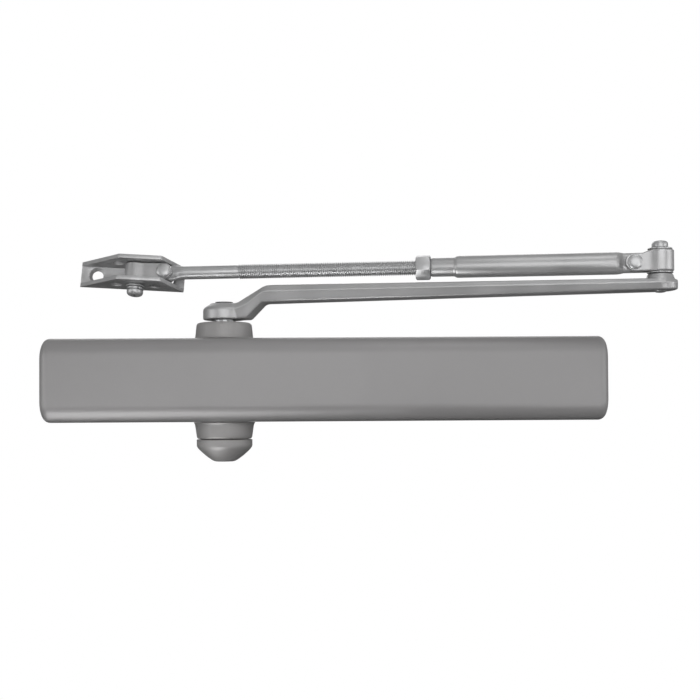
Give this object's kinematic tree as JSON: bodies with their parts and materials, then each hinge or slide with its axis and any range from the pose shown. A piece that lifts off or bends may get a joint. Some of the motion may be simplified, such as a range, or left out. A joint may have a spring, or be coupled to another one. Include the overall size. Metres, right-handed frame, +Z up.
{
  "type": "surface-mounted door closer",
  "caption": "Surface-mounted hydraulic door closer with a full slim cover, a jointed adjustable arm and a swivelling shoe, for closing a hinged door by spring.",
  "frame": {"origin": "on the mounting plane (the back face of the closer body), level with the pinion axis and the middle of the body", "axes": "+X along the body towards its spring end, +Y out of the back of the body into the door, +Z up along the pinion"},
  "size_m": [0.3455, 0.0773, 0.118],
  "materials": {
    "cover_paint": "satin",
    "collar_paint": "satin",
    "casting": "cast",
    "arm_paint": "satin metallic",
    "zinc": "zinc plated",
    "steel": "machined",
    "dark_steel": "oiled",
    "bronze": "machined",
    "rubber": "matt"
  },
  "bodies": {
    "closer_body": {"closer_body": "casting", "left_end_plug": "steel", "left_plug_seal": "rubber", "right_end_plug": "steel", "right_plug_seal": "rubber", "return_spring": "dark_steel", "upper_bearing": "bronze", "lower_bearing": "bronze", "upper_shaft_seal": "rubber", "lower_shaft_seal": "rubber", "upper_collar": "collar_paint", "lower_collar": "collar_paint", "left_cover_clip": "zinc", "left_clip_screw": "zinc", "right_cover_clip": "zinc", "right_clip_screw": "zinc"},
    "piston": {"piston": "steel", "piston_ring": "rubber", "check_valve_ball": "steel"},
    "spindle": {"pinion": "steel", "pinion_cap": "collar_paint", "main_arm": "arm_paint", "arm_washer": "zinc", "arm_screw": "dark_steel", "elbow_pin": "zinc", "elbow_top_washer": "zinc", "elbow_thrust_washer": "zinc"},
    "elbow_yoke": {"elbow_yoke": "arm_paint", "elbow_bush": "bronze", "elbow_rivet": "zinc"},
    "forearm_tube": {"forearm_tube": "arm_paint"},
    "jam_nut": {"jam_nut": "zinc"},
    "forearm_rod": {"forearm_rod": "zinc"},
    "shoe_yoke": {"shoe_yoke": "arm_paint", "shoe_bush": "bronze", "shoe_rivet": "zinc"},
    "shoe": {"shoe_bracket": "arm_paint", "shoe_flat_washer": "zinc", "shoe_lock_washer": "zinc", "shoe_pivot_screw": "zinc"},
    "sweep_valve": {"sweep_valve": "bronze", "sweep_valve_seal": "rubber"},
    "latch_valve": {"latch_valve": "bronze", "latch_valve_seal": "rubber"},
    "backcheck_valve": {"backcheck_valve": "bronze", "backcheck_valve_seal": "rubber"},
    "power_adjuster": {"power_adjuster": "steel"},
    "spring_seat": {"spring_seat": "steel"},
    "cover": {"cover": "cover_paint"}
  },
  "joints": [
    {"name": "pinion_turn", "type": "hinge", "parent": "closer_body", "child": "spindle", "pos_m": [0, -0.028, 0], "axis": [0, 0, -1], "range_deg": [0, 170], "stiffness_Nm_per_rad": 6, "springref_deg": -57.3},
    {"name": "piston_slide", "type": "slide", "parent": "closer_body", "child": "piston", "axis": [1, 0, 0], "range_m": [0, 0.027], "deforming": ["return_spring"]},
    {"name": "elbow_swivel", "type": "hinge", "parent": "spindle", "child": "elbow_yoke", "pos_m": [0.23733, -0.06814, 0.06095], "axis": [0, 0, 1], "continuous": true},
    {"name": "forearm_tilt", "type": "hinge", "parent": "elbow_yoke", "child": "forearm_tube", "pos_m": [0.22396, -0.06629, 0.06095], "axis": [0.1374, 0.9905, 0], "range_deg": [0, 12]},
    {"name": "jam_nut_turn", "type": "hinge", "parent": "forearm_tube", "child": "jam_nut", "pos_m": [0.11173, -0.05071, 0.06095], "axis": [-0.9905, 0.1374, 0], "continuous": true},
    {"name": "forearm_length", "type": "slide", "parent": "forearm_tube", "child": "forearm_rod", "axis": [-0.9905, 0.1374, 0], "range_m": [-0.02, 0.025]},
    {"name": "shoe_tilt", "type": "hinge", "parent": "forearm_rod", "child": "shoe_yoke", "pos_m": [-0.03268, -0.03067, 0.06095], "axis": [0.1354, 0.9755, -0.1736], "range_deg": [-8, 8]},
    {"name": "shoe_swivel", "type": "hinge", "parent": "shoe_yoke", "child": "shoe", "pos_m": [-0.0496, -0.02822, 0.06154], "axis": [0.0584, 0.1671, 0.9842], "range_deg": [-8, 160]},
    {"name": "sweep_valve_turn", "type": "hinge", "parent": "closer_body", "child": "sweep_valve", "pos_m": [-0.07, -0.0455, 0.0125], "axis": [-1, 0, 0], "range_deg": [-360, 360]},
    {"name": "latch_valve_turn", "type": "hinge", "parent": "closer_body", "child": "latch_valve", "pos_m": [-0.07, -0.0455, -0.0125], "axis": [-1, 0, 0], "range_deg": [-360, 360]},
    {"name": "backcheck_valve_turn", "type": "hinge", "parent": "closer_body", "child": "backcheck_valve", "pos_m": [0.184, -0.0455, 0.0125], "axis": [1, 0, 0], "range_deg": [-360, 360]},
    {"name": "power_adjust", "type": "hinge", "parent": "closer_body", "child": "power_adjuster", "pos_m": [0.184, -0.028, 0], "axis": [-1, 0, 0], "range_deg": [0, 1801]},
    {"name": "spring_seat_slide", "type": "slide", "parent": "closer_body", "child": "spring_seat", "axis": [-1, 0, 0], "range_m": [0, 0.0075]},
    {"name": "cover_pull", "type": "slide", "parent": "closer_body", "child": "cover", "axis": [0, -1, 0], "range_m": [0, 0.09]}
  ],
  "couplings": [
    {"joint": "piston_slide", "follows": "pinion_turn", "m_per_rad": 0.009},
    {"joint": "power_adjust", "follows": "spring_seat_slide", "rad_per_m": 4188.8}
  ]
}
